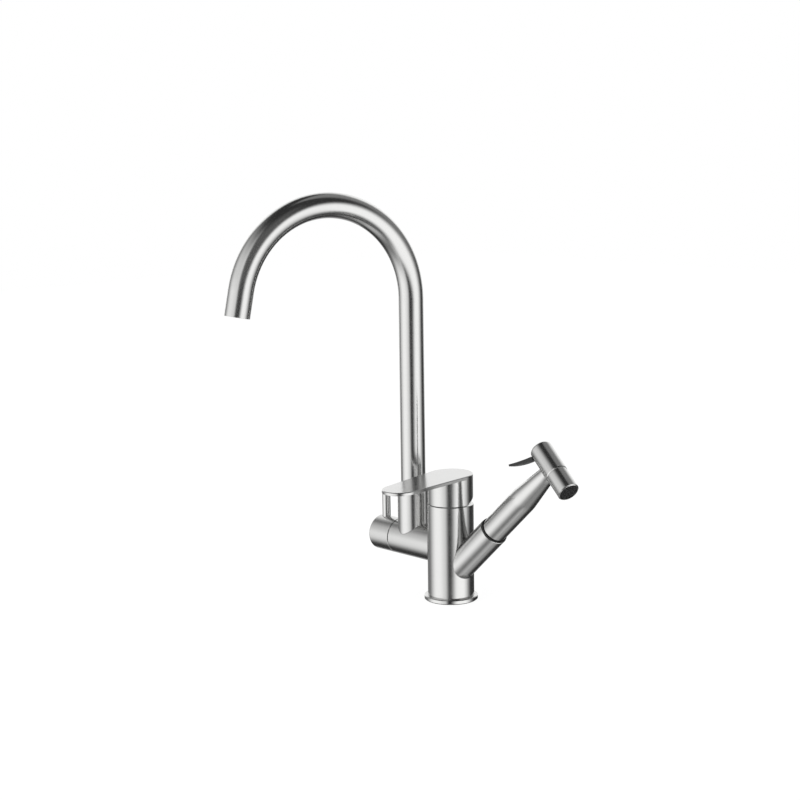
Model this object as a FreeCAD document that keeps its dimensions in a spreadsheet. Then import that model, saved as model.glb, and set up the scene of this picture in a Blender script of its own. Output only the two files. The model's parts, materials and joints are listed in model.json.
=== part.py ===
"""Kitchen faucet for one deck hole: a mixer column with a lever, a swivelling gooseneck spout on a
side branch, a stop valve at the end of the branch, and a hand spray parked in a slanted socket.

Millimetres. The origin is the middle of the foot, on the deck. +Z is up, the user stands at -Y, the
spray socket points to +X and the side branch to -X.
"""
import FreeCAD, Part
import math
import os
import Sketcher

Vector = FreeCAD.Vector
doc = FreeCAD.newDocument("SideSprayFaucet")

# ---------------------------------------------------------------- driving sizes

SIZES = {
    # clearances: between pieces of one assembly, around pieces that move, and at a visible seam
    "FitGap": 0.1,
    "RunGap": 0.3,
    "SeamGap": 0.6,
    # the bevel that polishing leaves on an open edge
    "EdgeBevel": 0.35,
    # foot
    "GasketThick": 0.8,
    "GasketDia": 48.8,
    "FlangeDia": 50.8,
    "FlangeHeight": 4.4,
    "FlangeBevel": 0.7,
    "InsertThick": 10.0,
    "HoseHoleDia": 14.0,
    "HoseHolePlace": 10.0,
    "ThreadHoleDia": 8.0,
    "InletRing": 11.0,
    "InletAngle": 98.0,
    "RearRing": 12.8,
    "RearAngle": 150.0,
    "PipeDia": 8.0,
    "PipeWall": 1.0,
    # column: the solid block at the branch, and the bore for the cartridge over it
    "ColumnDia": 44.0,
    "CavityDia": 37.0,
    "BlockDrop": 9.1,
    "SeatRise": 10.9,
    "CartridgeDepth": 32.3,
    "NutBoreDia": 38.0,
    "NutBoreDepth": 8.3,
    # side branch and its stop valve, measured outward from the column's axis
    "BranchHeight": 49.1,
    "BranchDia": 33.8,
    "BranchLength": 70.2,
    "WaterwayDia": 10.0,
    "ValveBoreDia": 22.0,
    "ValveBoreDepth": 14.0,
    "ValveDiscThick": 2.2,
    "ValveChamberDia": 18.0,
    "ValvePortDia": 4.0,
    "ValvePortPlace": 3.5,
    "HeadpartHexDia": 24.0,
    "HeadpartHexThick": 3.0,
    "HeadpartNeckDia": 15.0,
    "HeadpartLength": 14.0,
    "SpindleDia": 8.0,
    "SpindleFlangeDia": 13.0,
    "KnobLength": 26.6,
    "KnobWall": 3.0,
    "KnobFloor": 11.5,
    "KnobRound": 1.2,
    "KnobScrewDia": 4.0,
    "PinDia": 8.0,
    "PinInset": 7.9,
    "PinTop": 40.9,
    "PinBevel": 0.6,
    "PinDepth": 8.0,
    # spout: its socket stands on the branch, and its foot stands in the socket
    "SpoutPlace": 50.6,
    "SpoutSocketDia": 30.6,
    "SpoutFloor": 2.0,
    "SpoutBoreDia": 27.0,
    "SpoutBoreDepth": 32.0,
    "RiserDia": 16.0,
    "WasherThick": 1.0,
    "FootLength": 24.4,
    "TubeDepth": 10.5,
    "SealThick": 2.0,
    "SealRise": 6.7,
    "SealPitch": 3.2,
    "LockGrooveRise": 1.5,
    "LockGrooveWide": 4.0,
    "LockGrooveDepth": 1.6,
    "LockScrewDia": 5.0,
    "BearingFlange": 1.0,
    "BearingFlangeDia": 29.6,
    "SpoutDia": 23.6,
    "SpoutWall": 1.8,
    "SpoutRise": 184.0,
    "SpoutBendRadius": 90.0,
    "SpoutBendAngle": 168.8,
    "SpoutTail": 24.0,
    "SpoutYaw": 258.65,
    "AeratorDepth": 13.0,
    "AeratorInset": 0.8,
    "AeratorWall": 1.6,
    "ScreenThick": 2.0,
    "ScreenHoleDia": 2.4,
    "ScreenPitch": 4.4,
    # spray socket, measured along its slanted axis
    "DockHeight": 21.4,
    "DockRise": 43.3,
    "DockLength": 78.3,
    "DockDia": 27.7,
    "DockBoreDia": 23.6,
    "DockBoreDepth": 38.0,
    "DockHoseDia": 19.2,
    "LinerWall": 1.4,
    "LinerLength": 28.0,
    "LinerRimDia": 26.8,
    "LinerRim": 1.4,
    # hand spray: handle, measured from the socket's rim
    "HandsetTwist": 12.0,
    "GripDia": 24.9,
    "GripLength": 52.0,
    "NeckDia": 16.2,
    "NeckPlace": 90.0,
    "GripBend": 60.0,
    "StubLength": 34.0,
    "StubWall": 1.7,
    "StubCupDepth": 10.0,
    "HandleWaterDia": 9.0,
    "TailThreadDia": 15.0,
    "TailThread": 14.0,
    "TailWaterDia": 8.0,
    "ClipThick": 1.0,
    # hand spray: head, measured from where the two axes cross
    "HeadPlace": 100.6,
    "HeadAngle": 79.4,
    "HeadDia": 20.7,
    "HeadBack": 25.8,
    "HeadSeam": 8.3,
    "HeadFront": 30.3,
    "HeadWall": 2.35,
    "HeadRound": 3.2,
    "HeadBevel": 1.2,
    "BackWall": 1.5,
    "WebPlace": 12.0,
    "WebThick": 2.5,
    "NozzleDia": 19.8,
    "NozzleWall": 1.4,
    "NozzleBevel": 0.9,
    "SpigotLength": 6.0,
    "SpigotBoreDia": 13.0,
    "PerchPlace": 22.0,
    "PerchThick": 2.0,
    "PerchHoleDia": 3.0,
    "FaceInset": 0.7,
    "FaceThick": 2.0,
    "FaceShelf": 1.2,
    "FaceHoleDia": 1.2,
    "FacePitch": 3.2,
    "SeatRingPlace": 5.0,
    "SeatRingThick": 2.0,
    "SeatBoreDia": 7.2,
    "StemDia": 3.6,
    "PlungerDiscDia": 9.6,
    "PlungerDiscThick": 2.0,
    "PlungerGuideDia": 2.4,
    "PlungerGuideLength": 6.0,
    "PlungerTip": 15.9,
    "PlungerNose": 0.6,
    "SpringWire": 0.8,
    "SpringCoilDia": 6.0,
    "SpringTurns": 5.0,
    # trigger, in the head's own frame: across is towards the socket, back is away from the nozzle
    "PivotAcross": 5.0,
    "PivotBack": 17.5,
    "PivotPinDia": 2.2,
    "HubDia": 4.4,
    "TriggerWebWide": 5.0,
    "TriggerWide": 7.0,
    "TriggerReach": 40.0,
    "TriggerSweep": 45.2,
    "TriggerRoot": 11.6,
    "TriggerRootBack": 26.4,
    "TriggerRootThick": 3.5,
    "TriggerTipThick": 1.4,
    "TriggerTipRound": 3.0,
    "TriggerArmEnd": 3.8,
    "TriggerArmTop": 0.5,
    "TriggerLap": 1.0,
    "TriggerBackBend": 300.0,
    "TriggerFrontBend": 120.0,
    # cartridge
    "CartridgeDia": 35.0,
    "CartridgeBase": 6.0,
    "CartridgeHeight": 28.0,
    "CartridgeWall": 2.7,
    "CartridgeLip": 2.5,
    "CartridgeMouthDia": 24.0,
    "DiscThick": 3.5,
    "MovingDiscDia": 22.0,
    "HollowDia": 9.5,
    "CarrierThick": 4.0,
    "CarrierHoleDia": 8.0,
    "PortDia": 6.0,
    "MixedPlace": 7.0,
    "MixedDia": 7.0,
    "TiltRise": 24.0,
    "RotorDrop": 5.5,
    "RotorRise": 8.0,
    "RotorNeckDia": 22.0,
    "StemSide": 8.0,
    "StemSlot": 17.0,
    "StemInset": 2.0,
    "ToeDia": 5.0,
    "TiltPinDia": 3.0,
    "NutInset": 1.1,
    "NutMouthDia": 27.0,
    "NotchWide": 4.0,
    "NotchDepth": 1.0,
    "DomeDia": 40.8,
    "DomeWall": 1.0,
    "DomeMouthDia": 26.4,
    "DomeFoot": 0.8,
    # lever
    "LeverYaw": 5.9,
    "CapDia": 43.2,
    "CapWall": 2.7,
    "CapRoofThick": 8.8,
    "BossDia": 17.0,
    "BossLength": 7.6,
    "LeverHeight": 28.5,
    "PaddleSlope": 1.8,
    "PaddleThick": 3.0,
    "PaddleReach": 88.0,
    "PaddleTipDia": 34.0,
    "PaddleBevel": 0.6,
    "ReliefAngle": 23.0,
    "ReliefStart": 2.5,
    "GrubRise": 3.2,
    "GrubDia": 5.0,
    "GrubLength": 7.0,
    "PlugDia": 7.0,
    "PlugThick": 2.0,
    "PlugInset": 0.5,
}


class Size:
    """A size as its number now and as the formula that the document keeps for it."""

    def __init__(self, number, formula):
        self.number = float(number)
        self.formula = formula

    def __add__(self, other):
        other = as_size(other)
        return Size(self.number + other.number, "(" + self.formula + " + " + other.formula + ")")

    def __sub__(self, other):
        other = as_size(other)
        return Size(self.number - other.number, "(" + self.formula + " - " + other.formula + ")")

    def __rsub__(self, other):
        return as_size(other) - self

    def __mul__(self, other):
        other = as_size(other)
        return Size(self.number * other.number, "(" + self.formula + " * " + other.formula + ")")

    def __truediv__(self, other):
        other = as_size(other)
        return Size(self.number / other.number, "(" + self.formula + " / " + other.formula + ")")

    def __neg__(self):
        return Size(-self.number, "(0 - " + self.formula + ")")

    __radd__ = __add__
    __rmul__ = __mul__


def as_size(value):
    return value if isinstance(value, Size) else Size(value, str(float(value)))


def sine(angle):
    return Size(math.sin(math.radians(angle.number)), "sin(" + angle.formula + ")")


def cosine(angle):
    return Size(math.cos(math.radians(angle.number)), "cos(" + angle.formula + ")")


def root(value):
    return Size(math.sqrt(value.number), "sqrt(" + value.formula + ")")


sheet = doc.addObject("Spreadsheet::Sheet", "Sizes")
size = {}
for row, (alias, number) in enumerate(SIZES.items(), start=1):
    sheet.set("A" + str(row), alias)
    sheet.set("B" + str(row), str(number))
    sheet.setAlias("B" + str(row), alias)
    size[alias] = Size(number, "Sizes." + alias)
doc.recompute()

FIT = size["FitGap"]
RUN = size["RunGap"]
EDGE = size["EdgeBevel"]

# heights over the deck, each stacked on what carries it
branch_z = size["BranchHeight"]
branch_r = size["BranchDia"] / 2
block_z = branch_z - size["BlockDrop"]
seat_z = branch_z + size["SeatRise"]
column_top = seat_z + size["CartridgeDepth"]
nut_seat = column_top - size["NutBoreDepth"]
nut_top = column_top - size["NutInset"]
cartridge_top = seat_z + size["CartridgeHeight"]
tilt_z = seat_z + size["TiltRise"]
rotor_low = tilt_z - size["RotorDrop"]
rotor_top = tilt_z + size["RotorRise"]
paddle_top = column_top + size["LeverHeight"]
cap_roof = paddle_top - size["CapRoofThick"]
stem_top = cap_roof - size["StemInset"]
boss_low = cap_roof - size["BossLength"]
grub_z = boss_low + size["GrubRise"]
spout_floor = branch_z + branch_r + size["SpoutFloor"]
socket_top = spout_floor + size["SpoutBoreDepth"]
foot_low = spout_floor + size["WasherThick"] + FIT
foot_top = foot_low + size["FootLength"]
tube_low = foot_top - size["TubeDepth"]
bend_z = socket_top + size["SpoutRise"]


# ---------------------------------------------------------------- frames

class Frame:
    """A placement, and the formula that keeps it tied to the sizes."""

    def __init__(self, placement, formula):
        self.placement = placement
        self.formula = formula

    def then(self, other):
        return Frame(self.placement.multiply(other.placement), self.formula + " * " + other.formula)


def shift(x=0, y=0, z=0):
    x, y, z = as_size(x), as_size(y), as_size(z)
    formula = "placement(vector({}; {}; {}); rotation(vector(0; 0; 1); 0))"
    return Frame(FreeCAD.Placement(Vector(x.number, y.number, z.number), FreeCAD.Rotation()),
                 formula.format(x.formula, y.formula, z.formula))


def turn(axis, angle):
    angle = as_size(angle)
    formula = "placement(vector(0; 0; 0); rotation(vector({}; {}; {}); {}))"
    return Frame(FreeCAD.Placement(Vector(), FreeCAD.Rotation(Vector(*axis), angle.number)),
                 formula.format(*axis, angle.formula))


X_AXIS = (1, 0, 0)
Y_AXIS = (0, 1, 0)
Z_AXIS = (0, 0, 1)

WORLD = shift()
# branch frame: its Z runs outward along -X, its X is up
BRANCH = shift(z=branch_z).then(turn(Y_AXIS, -90))
SPOUT = shift(x=-size["SpoutPlace"]).then(turn(Z_AXIS, size["SpoutYaw"]))
# socket frame: Z runs up the slanted axis, X points down and outward
DOCK = shift(z=size["DockHeight"]).then(turn(Y_AXIS, 90 - size["DockRise"]))
HANDLE = DOCK.then(shift(z=size["DockLength"])).then(turn(Z_AXIS, -size["HandsetTwist"]))
# head frame: Z runs to the nozzle, X points back towards the socket
HEAD = HANDLE.then(shift(z=size["HeadPlace"])).then(turn(Y_AXIS, size["HeadAngle"]))
LEVER = turn(Z_AXIS, size["LeverYaw"])


# ---------------------------------------------------------------- ways of making a solid

PAST = 1.0  # how far a cutting tool runs past the face that it opens
pieces = []


def keep(piece, label):
    """The finished sub-part, under the name that its file gets."""
    piece.Label = label
    pieces.append(piece)
    return piece


def place(thing, frame):
    thing.setExpression("Placement", frame.formula)
    return thing


def new_body(name, frame):
    return place(doc.addObject("PartDesign::Body", name + "_solid"), frame)


def new_sketch(body, role):
    sketch = body.newObject("Sketcher::SketchObject", body.Name + "_sketch")
    origin_plane = [f for f in body.Origin.OriginFeatures if f.Role == role]
    sketch.AttachmentSupport = [(origin_plane[0], "")]
    sketch.MapMode = "FlatFace"
    return sketch


def tie(sketch, kind, geometry, point, value):
    """Hold one coordinate of a sketch point at a size."""
    if value.number == 0:
        axis = -2 if kind == "DistanceX" else -1
        sketch.addConstraint(Sketcher.Constraint("PointOnObject", geometry, point, axis))
        return
    index = sketch.addConstraint(Sketcher.Constraint(kind, -1, 1, geometry, point, value.number))
    sketch.setExpression("Constraints[" + str(index) + "]", value.formula)


def draw_loop(sketch, corners, arcs=()):
    """A closed outline. Side n joins corner n to the next, and is an arc where arcs[n] gives its
    radius and a point near its middle."""
    arcs = dict(arcs)
    corners = [(as_size(x), as_size(y)) for x, y in corners]
    points = [Vector(x.number, y.number, 0) for x, y in corners]
    first = sketch.GeometryCount
    ends = []
    for n, start in enumerate(points):
        stop = points[(n + 1) % len(points)]
        if n not in arcs:
            sketch.addGeometry(Part.LineSegment(start, stop))
            ends.append((1, 2))
            continue
        middle = Vector(*arcs[n][1], 0)
        clockwise = (middle - start).cross(stop - middle).z < 0
        if clockwise:
            start, stop = stop, start
        sketch.addGeometry(Part.Arc(start, middle, stop))
        ends.append((2, 1) if clockwise else (1, 2))
    for n in range(len(points)):
        after = (n + 1) % len(points)
        sketch.addConstraint(Sketcher.Constraint(
            "Coincident", first + n, ends[n][1], first + after, ends[after][0]))
    for n, (x, y) in enumerate(corners):
        tie(sketch, "DistanceX", first + n, ends[n][0], x)
        tie(sketch, "DistanceY", first + n, ends[n][0], y)
    for n, (radius, _) in arcs.items():
        index = sketch.addConstraint(Sketcher.Constraint("Radius", first + n, radius.number))
        sketch.setExpression("Constraints[" + str(index) + "]", radius.formula)


def draw_circle(sketch, x, y, radius):
    x, y = as_size(x), as_size(y)
    index = sketch.addGeometry(Part.Circle(Vector(x.number, y.number, 0), Vector(0, 0, 1),
                                           radius.number))
    tie(sketch, "DistanceX", index, 3, x)
    tie(sketch, "DistanceY", index, 3, y)
    held = sketch.addConstraint(Sketcher.Constraint("Radius", index, radius.number))
    sketch.setExpression("Constraints[" + str(held) + "]", radius.formula)


def revolve(body, sketch):
    """Turn the sketch's outline about the body's Z."""
    feature = body.newObject("PartDesign::Revolution", body.Name + "_turning")
    feature.Profile = sketch
    feature.ReferenceAxis = (sketch, ["V_Axis"])
    feature.Angle = 360


def turned(name, frame, corners):
    """A body turned from an outline of (radius, height) corners."""
    body = new_body(name, frame)
    sketch = new_sketch(body, "XZ_Plane")
    draw_loop(sketch, corners)
    revolve(body, sketch)
    return body


def ring(name, frame, inner, outer, low, high):
    return turned(name, frame, [(inner, low), (outer, low), (outer, high), (inner, high)])


def disc(name, frame, radius, low, high):
    return turned(name, frame, [(0, low), (radius, low), (radius, high), (0, high)])


def rod(frame, radius, low, high):
    """A plain cylinder along the frame's Z, mostly a tool for a cut."""
    low, high = as_size(low), as_size(high)
    cylinder = doc.addObject("Part::Cylinder", "rod")
    cylinder.setExpression("Radius", radius.formula)
    cylinder.setExpression("Height", (high - low).formula)
    return place(cylinder, frame.then(shift(z=low)))


def block(frame, x, y, z):
    """A plain box in the frame, each side given as (low, high)."""
    spans = [(as_size(low), as_size(high)) for low, high in (x, y, z)]
    box = doc.addObject("Part::Box", "block")
    for side, (low, high) in zip(("Length", "Width", "Height"), spans):
        box.setExpression(side, (high - low).formula)
    return place(box, frame.then(shift(*[low for low, _ in spans])))


def joined(*parts):
    if len(parts) == 1:
        return parts[0]
    union = doc.addObject("Part::MultiFuse", "union")
    union.Shapes = list(parts)
    return union


def cut(base, *tools):
    result = doc.addObject("Part::Cut", base.Name + "_cut")
    result.Base = base
    result.Tool = joined(*tools)
    return result


def group(*parts):
    """Separate solids that share one node."""
    compound = doc.addObject("Part::Compound", "group")
    compound.Links = list(parts)
    return compound


def polished_edges(base, radius, wanted, kind="Part::Fillet"):
    """Round the edges that the test picks, the way a polishing wheel leaves them, or bevel them."""
    doc.recompute()
    numbers = [n for n, edge in enumerate(base.Shape.Edges, start=1) if wanted(edge)]
    dressed = doc.addObject(kind, base.Name + "_dressed")
    dressed.Base = base
    dressed.Edges = [(n, radius.number, radius.number) for n in numbers]
    return dressed


def across(frame, x=0, y=0, z=0, axis=Y_AXIS, angle=90):
    """The frame moved and turned so that its Z crosses the old one."""
    return frame.then(shift(x, y, z)).then(turn(axis, angle))


# ---------------------------------------------------------------- foot

column_r = size["ColumnDia"] / 2
cavity_r = size["CavityDia"] / 2
foot_z = size["GasketThick"]
thread_r = size["ThreadHoleDia"] / 2


def on_ring(ring_radius, angle):
    return (ring_radius * cosine(angle), ring_radius * sine(angle))


INLET_HOT = on_ring(size["InletRing"], size["InletAngle"])
INLET_COLD = on_ring(size["InletRing"], -size["InletAngle"])
SPRAY_OUTLET = on_ring(size["RearRing"], size["RearAngle"])
STUD_HOLE = on_ring(size["RearRing"], -size["RearAngle"])


def make_foot():
    keep(ring("base_gasket", WORLD, cavity_r + FIT, size["GasketDia"] / 2, 0, foot_z),
         "base_gasket")
    outer = size["FlangeDia"] / 2
    bevel = size["FlangeBevel"]
    top = size["FlangeHeight"]
    inner = column_r + FIT
    keep(turned("base_flange", WORLD, [
        (inner, foot_z), (outer, foot_z), (outer, top - bevel), (outer - bevel, top), (inner, top),
    ]), "base_flange")

    insert = new_body("base_insert", WORLD)
    sketch = new_sketch(insert, "XY_Plane")
    draw_circle(sketch, 0, 0, cavity_r - FIT)
    draw_circle(sketch, size["HoseHolePlace"], 0, size["HoseHoleDia"] / 2)
    for x, y in (INLET_HOT, INLET_COLD, SPRAY_OUTLET, STUD_HOLE):
        draw_circle(sketch, x, y, thread_r)
    pad = insert.newObject("PartDesign::Pad", "base_insert_pad")
    pad.Profile = sketch
    pad.setExpression("Length", size["InsertThick"].formula)
    keep(insert, "base_insert")

    pipe_r = size["PipeDia"] / 2
    for name, (x, y) in (("inlet_pipe_hot", INLET_HOT), ("inlet_pipe_cold", INLET_COLD),
                         ("spray_feed_pipe", SPRAY_OUTLET)):
        keep(ring(name, shift(x, y), pipe_r - size["PipeWall"], pipe_r,
                  size["InsertThick"], block_z), name)


# ---------------------------------------------------------------- column

housing_r = size["CartridgeDia"] / 2
dock_r = size["DockDia"] / 2


def make_column():
    seat_r = housing_r + FIT
    nut_r = size["NutBoreDia"] / 2
    shell = turned("column", WORLD, [
        (cavity_r, foot_z), (column_r, foot_z), (column_r, column_top - EDGE),
        (column_r - EDGE, column_top), (nut_r, column_top),
        (nut_r, nut_seat), (seat_r, nut_seat), (seat_r, seat_z), (0, seat_z),
        (0, block_z), (cavity_r, block_z),
    ])
    hose_way = rod(DOCK, size["DockHoseDia"] / 2, size["HoseHolePlace"], size["DockLength"])
    branch_way = rod(BRANCH, size["WaterwayDia"] / 2, 0, column_r * 2)
    water_r = size["PipeDia"] / 2 - size["PipeWall"]
    ports = [rod(shift(x, y), water_r, block_z - PAST, seat_z + PAST)
             for x, y in (INLET_HOT, INLET_COLD)]
    mixed = rod(shift(-size["MixedPlace"]), size["MixedDia"] / 2, branch_z,
                seat_z + PAST)
    keep(cut(shell, hose_way, branch_way, mixed, *ports), "mixer_column")


# ---------------------------------------------------------------- side branch and stop valve

branch_end = size["BranchLength"]
valve_floor = branch_end - size["ValveBoreDepth"]
spindle_r = size["SpindleDia"] / 2
knob_low = branch_end + size["SeamGap"]
knob_high = knob_low + size["KnobLength"]
pin_place = knob_high - size["PinInset"]


def make_branch():
    waterway_r = size["WaterwayDia"] / 2
    bore_r = size["ValveBoreDia"] / 2
    tube = turned("side_branch", BRANCH, [
        (waterway_r, 0), (branch_r, 0), (branch_r, branch_end - EDGE),
        (branch_r - EDGE, branch_end), (bore_r, branch_end), (bore_r, valve_floor),
        (waterway_r, valve_floor),
    ])
    column_tool = rod(WORLD, column_r + FIT, foot_z, column_top)
    riser = rod(SPOUT, size["RiserDia"] / 2, branch_z, socket_top)
    keep(cut(tube, column_tool, riser), "side_branch")


def make_stop_valve():
    bore_r = size["ValveBoreDia"] / 2
    chamber_r = size["ValveChamberDia"] / 2
    disc_t = size["ValveDiscThick"]
    fixed_z = valve_floor + disc_t
    moving_z = fixed_z + disc_t
    hex_low = branch_end + FIT
    hex_high = hex_low + size["HeadpartHexThick"]
    neck_r = size["HeadpartNeckDia"] / 2
    neck_z = hex_low + size["HeadpartLength"]
    bush_r = spindle_r + RUN
    fixed = disc("stop_disc_fixed", BRANCH, bore_r - FIT, valve_floor + FIT, fixed_z)
    port = rod(BRANCH.then(shift(x=size["ValvePortPlace"])), size["ValvePortDia"] / 2,
               valve_floor - PAST, moving_z + PAST)
    keep(cut(fixed, port), "stop_disc_fixed")
    moving = disc("stop_disc_moving", BRANCH, chamber_r - RUN, fixed_z + FIT, moving_z)
    half = block(BRANCH, (0, chamber_r), (-chamber_r, chamber_r), (fixed_z, moving_z - disc_t / 2))
    keep(cut(moving, half), "stop_disc_moving")
    shoulder_z = moving_z + disc_t
    keep(turned("headpart_body", BRANCH, [
        (chamber_r, fixed_z + FIT), (bore_r - FIT, fixed_z + FIT), (bore_r - FIT, hex_low),
        (size["HeadpartHexDia"] / 2, hex_low), (size["HeadpartHexDia"] / 2, hex_high),
        (neck_r, hex_high), (neck_r, neck_z), (bush_r, neck_z), (bush_r, shoulder_z),
        (chamber_r, shoulder_z),
    ]), "headpart_body")
    knob_floor = knob_high - size["KnobFloor"]
    collar_r = size["SpindleFlangeDia"] / 2
    keep(turned("valve_spindle", BRANCH, [
        (0, moving_z), (collar_r, moving_z), (collar_r, shoulder_z - RUN),
        (spindle_r, shoulder_z - RUN), (spindle_r, knob_high - size["KnobWall"]),
        (0, knob_high - size["KnobWall"]),
    ]), "valve_spindle")

    cup_r = branch_r - size["KnobWall"]
    hole_r = spindle_r + FIT
    cup = turned("valve_knob", BRANCH, [
        (cup_r, knob_low), (branch_r - EDGE, knob_low), (branch_r, knob_low + EDGE),
        (branch_r, knob_high), (0, knob_high),
        (0, knob_high - size["KnobWall"] + FIT), (hole_r, knob_high - size["KnobWall"] + FIT),
        (hole_r, knob_floor), (cup_r, knob_floor),
    ])
    rounded = polished_edges(cup, size["KnobRound"], lambda edge: is_circle(
        edge, branch_r.number) and near_plane(edge, BRANCH, knob_high.number))
    pin_way = rod(across(BRANCH, z=pin_place), size["PinDia"] / 2 + FIT,
                  branch_r - size["PinDepth"], branch_r * 2)
    screw_way = rod(across(BRANCH, z=pin_place, angle=-90), size["KnobScrewDia"] / 2 + FIT,
                    0, branch_r * 2)
    keep(cut(rounded, pin_way, screw_way), "valve_knob")

    pin_r = size["PinDia"] / 2
    edge = size["PinBevel"]
    pin_low = branch_r - size["PinDepth"] + FIT
    keep(turned("knob_pin", across(BRANCH, z=pin_place), [
        (0, pin_low), (pin_r, pin_low), (pin_r, size["PinTop"] - edge),
        (pin_r - edge, size["PinTop"]), (0, size["PinTop"]),
    ]), "knob_pin")
    screw = rod(across(BRANCH, z=pin_place, angle=-90), size["KnobScrewDia"] / 2,
                spindle_r + FIT, spindle_r + FIT + size["PinDepth"])
    key_hole = hex_socket(across(BRANCH, z=pin_place, angle=-90), size["KnobScrewDia"],
                          spindle_r + FIT + size["PinDepth"])
    keep(cut(screw, key_hole), "knob_screw")


NEAR = 0.01  # how close a measured edge comes to the size that names it


def is_circle(edge, radius):
    return edge.Curve.TypeId == "Part::GeomCircle" and abs(edge.Curve.Radius - radius) < NEAR


def near_plane(edge, frame, height):
    """Whether the edge's middle lies at this height in the frame."""
    return abs(frame.placement.inverse().multVec(edge.CenterOfMass).z - height) < NEAR


def hex_socket(frame, thread_dia, top):
    """The key hole in a grub screw's end, half the thread wide and half the thread deep."""
    prism = doc.addObject("Part::Prism", "key_hole")
    prism.Polygon = 6
    prism.setExpression("Circumradius", (thread_dia / 4).formula)
    prism.setExpression("Height", thread_dia.formula)
    return place(prism, frame.then(shift(z=top - thread_dia / 2)))


# ---------------------------------------------------------------- spout

spout_r = size["SpoutDia"] / 2
spout_bore_r = size["SpoutBoreDia"] / 2
socket_r = size["SpoutSocketDia"] / 2
foot_r = spout_bore_r - RUN


def make_spout_socket():
    riser_r = size["RiserDia"] / 2
    top = socket_top
    collar = turned("spout_socket", SPOUT, [
        (riser_r, branch_z), (socket_r, branch_z), (socket_r, top - EDGE), (socket_r - EDGE, top),
        (spout_bore_r, top), (spout_bore_r, spout_floor), (riser_r, spout_floor),
    ])
    saddle = rod(BRANCH, branch_r + FIT, 0, branch_end)
    screw_frame = across(shift(x=-size["SpoutPlace"]), axis=X_AXIS, angle=-90,
                         z=foot_low + size["LockGrooveRise"] + size["LockGrooveWide"] / 2)
    screw_way = rod(screw_frame, size["LockScrewDia"] / 2 + FIT, spout_bore_r - PAST,
                    socket_r + PAST)
    keep(cut(collar, saddle, screw_way), "spout_socket")

    tip = foot_r - size["LockGrooveDepth"] + RUN * 2
    screw = rod(screw_frame, size["LockScrewDia"] / 2, spout_bore_r + FIT, socket_r)
    nose = rod(screw_frame, size["LockGrooveWide"] / 2 - RUN, tip, spout_bore_r + FIT * 2)
    key_hole = hex_socket(screw_frame, size["LockScrewDia"], socket_r)
    keep(cut(joined(screw, nose), key_hole), "spout_lock_screw")

    keep(ring("spout_washer", SPOUT, riser_r, spout_bore_r - FIT, spout_floor,
              spout_floor + size["WasherThick"]), "spout_washer")
    inner = spout_r + RUN
    flange_r = size["BearingFlangeDia"] / 2
    keep(turned("spout_bearing", SPOUT, [
        (inner, foot_top + RUN), (spout_bore_r - FIT, foot_top + RUN),
        (spout_bore_r - FIT, top), (flange_r, top), (flange_r, top + size["BearingFlange"]),
        (inner, top + size["BearingFlange"]),
    ]), "spout_bearing")


def make_spout_foot():
    water_r = size["RiserDia"] / 2
    groove_low = foot_low + size["LockGrooveRise"]
    groove_high = groove_low + size["LockGrooveWide"]
    groove_r = foot_r - size["LockGrooveDepth"]
    body = turned("spout_foot", SPOUT, [
        (water_r, foot_low), (foot_r, foot_low), (foot_r, groove_low), (groove_r, groove_low),
        (groove_r, groove_high), (foot_r, groove_high), (foot_r, foot_top),
        (spout_r + FIT, foot_top), (spout_r + FIT, tube_low), (water_r, tube_low),
    ])
    seal_inner = spout_bore_r - FIT - size["SealThick"]
    grooves = []
    seals = []
    for n in range(2):
        low_side = foot_low + size["SealRise"] + size["SealPitch"] * n
        high_side = low_side + size["SealThick"]
        grooves.append(ring("seal_groove" + str(n), SPOUT, seal_inner - FIT, foot_r + PAST,
                            low_side - FIT, high_side + FIT))
        seals.append(ring("spout_seal" + str(n), SPOUT, seal_inner, seal_inner + size["SealThick"],
                          low_side, high_side))
    keep(cut(body, *grooves), "spout_foot")
    keep(group(*seals), "spout_seals")


def make_spout_tube():
    """One bent tube: a riser, a long arc over the sink and a short straight end."""
    body = new_body("spout_tube", SPOUT.then(shift(z=tube_low + FIT)))
    rise = bend_z - tube_low - FIT
    bend = size["SpoutBendRadius"]
    angle = size["SpoutBendAngle"]
    end_x = bend - bend * cosine(angle)
    end_z = rise + bend * sine(angle)
    tip_x = end_x + size["SpoutTail"] * sine(angle)
    tip_z = end_z + size["SpoutTail"] * cosine(angle)
    path = new_sketch(body, "XZ_Plane")
    top = Vector(bend.number, rise.number + bend.number, 0)
    path.addGeometry(Part.LineSegment(Vector(), Vector(0, rise.number, 0)))
    path.addGeometry(Part.Arc(Vector(end_x.number, end_z.number, 0), top,
                              Vector(0, rise.number, 0)))
    path.addGeometry(Part.LineSegment(Vector(end_x.number, end_z.number, 0),
                                      Vector(tip_x.number, tip_z.number, 0)))
    path.addConstraint(Sketcher.Constraint("Coincident", 0, 1, -1, 1))
    path.addConstraint(Sketcher.Constraint("Coincident", 0, 2, 1, 2))
    path.addConstraint(Sketcher.Constraint("Coincident", 1, 1, 2, 1))
    for geometry, point, x, z in ((0, 2, as_size(0), rise), (2, 1, end_x, end_z),
                                  (2, 2, tip_x, tip_z)):
        tie(path, "DistanceX", geometry, point, x)
        tie(path, "DistanceY", geometry, point, z)
    index = path.addConstraint(Sketcher.Constraint("Radius", 1, bend.number))
    path.setExpression("Constraints[" + str(index) + "]", bend.formula)
    section = new_sketch(body, "XY_Plane")
    draw_circle(section, 0, 0, spout_r)
    draw_circle(section, 0, 0, spout_r - size["SpoutWall"])
    doc.recompute()
    pipe = body.newObject("PartDesign::AdditivePipe", "spout_tube_sweep")
    pipe.Profile = section
    pipe.Spine = (path, ["Edge1", "Edge2", "Edge3"])
    keep(body, "spout_tube")


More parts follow.
